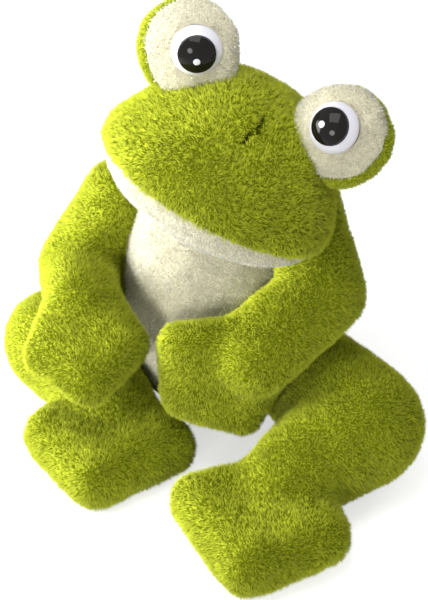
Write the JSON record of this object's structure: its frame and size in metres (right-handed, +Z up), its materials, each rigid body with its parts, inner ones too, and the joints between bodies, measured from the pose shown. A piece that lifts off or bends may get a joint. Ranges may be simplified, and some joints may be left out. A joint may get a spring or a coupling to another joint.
{
  "type": "plush frog",
  "caption": "Seated plush frog with a tilting stuffed head, jointed stuffed arms and legs with webbed mitts and feet, and domed plastic eyes.",
  "frame": {"origin": "on the floor under the middle of the seat", "axes": "+Z up, -Y out of the frog's front, +X to the frog's left"},
  "size_m": [0.3596, 0.3281, 0.3795],
  "materials": {
    "green_plush": "long-pile plush",
    "cream_plush": "long-pile plush",
    "stuffing": "polyester fibre",
    "white_plastic": "polished",
    "black_plastic": "polished",
    "washer_plastic": "moulded"
  },
  "bodies": {
    "torso": {"torso_back": "green_plush", "belly_panel": "cream_plush", "torso_stuffing": "stuffing"},
    "head": {"head_upper": "green_plush", "jaw": "cream_plush", "head_stuffing": "stuffing", "eye_mound_front_right": "cream_plush", "eye_mound_back_right": "green_plush", "eye_white_right": "white_plastic", "pupil_right": "black_plastic", "lock_washer_right": "washer_plastic", "eye_mound_front_left": "cream_plush", "eye_mound_back_left": "green_plush", "eye_white_left": "white_plastic", "pupil_left": "black_plastic", "lock_washer_left": "washer_plastic"},
    "upper_arm_right": {"upper_arm_right": "green_plush"},
    "forearm_right": {"forearm_right": "green_plush"},
    "upper_arm_left": {"upper_arm_left": "green_plush"},
    "forearm_left": {"forearm_left": "green_plush"},
    "thigh_right": {"thigh_right": "green_plush"},
    "shin_right": {"shin_right": "green_plush"},
    "thigh_left": {"thigh_left": "green_plush"},
    "shin_left": {"shin_left": "green_plush"}
  },
  "joints": [
    {"name": "neck", "type": "hinge", "parent": "torso", "child": "head", "pos_m": [-0.0207, -0.004, 0.19692], "axis": [0.0164, -0.9395, 0.342], "range_deg": [0, 42]},
    {"name": "shoulder_right", "type": "hinge", "parent": "torso", "child": "upper_arm_right", "pos_m": [-0.09393, 0.004, 0.17615], "axis": [-1, 0, 0], "range_deg": [0, 18]},
    {"name": "elbow_right", "type": "hinge", "parent": "upper_arm_right", "child": "forearm_right", "pos_m": [-0.1261, -0.01888, 0.1168], "axis": [-1, 0, 0], "range_deg": [0, 18]},
    {"name": "hip_right", "type": "hinge", "parent": "torso", "child": "thigh_right", "pos_m": [-0.05, -0.002, 0.046], "axis": [0, 0, -1], "range_deg": [0, 20]},
    {"name": "knee_right", "type": "hinge", "parent": "thigh_right", "child": "shin_right", "pos_m": [-0.14495, -0.03285, 0.04717], "axis": [0, 0, -1], "range_deg": [0, 40]},
    {"name": "shoulder_left", "type": "hinge", "parent": "torso", "child": "upper_arm_left", "pos_m": [0.05525, 0.004, 0.19183], "axis": [-1, 0, 0], "range_deg": [0, 18]},
    {"name": "elbow_left", "type": "hinge", "parent": "upper_arm_left", "child": "forearm_left", "pos_m": [0.08593, -0.04567, 0.14727], "axis": [-1, 0, 0], "range_deg": [0, 18]},
    {"name": "hip_left", "type": "hinge", "parent": "torso", "child": "thigh_left", "pos_m": [0.05, -0.002, 0.046], "axis": [0, 0, 1], "range_deg": [0, 20]},
    {"name": "knee_left", "type": "hinge", "parent": "thigh_left", "child": "shin_left", "pos_m": [0.12658, -0.0813, 0.053], "axis": [0, 0, 1], "range_deg": [0, 40]}
  ]
}
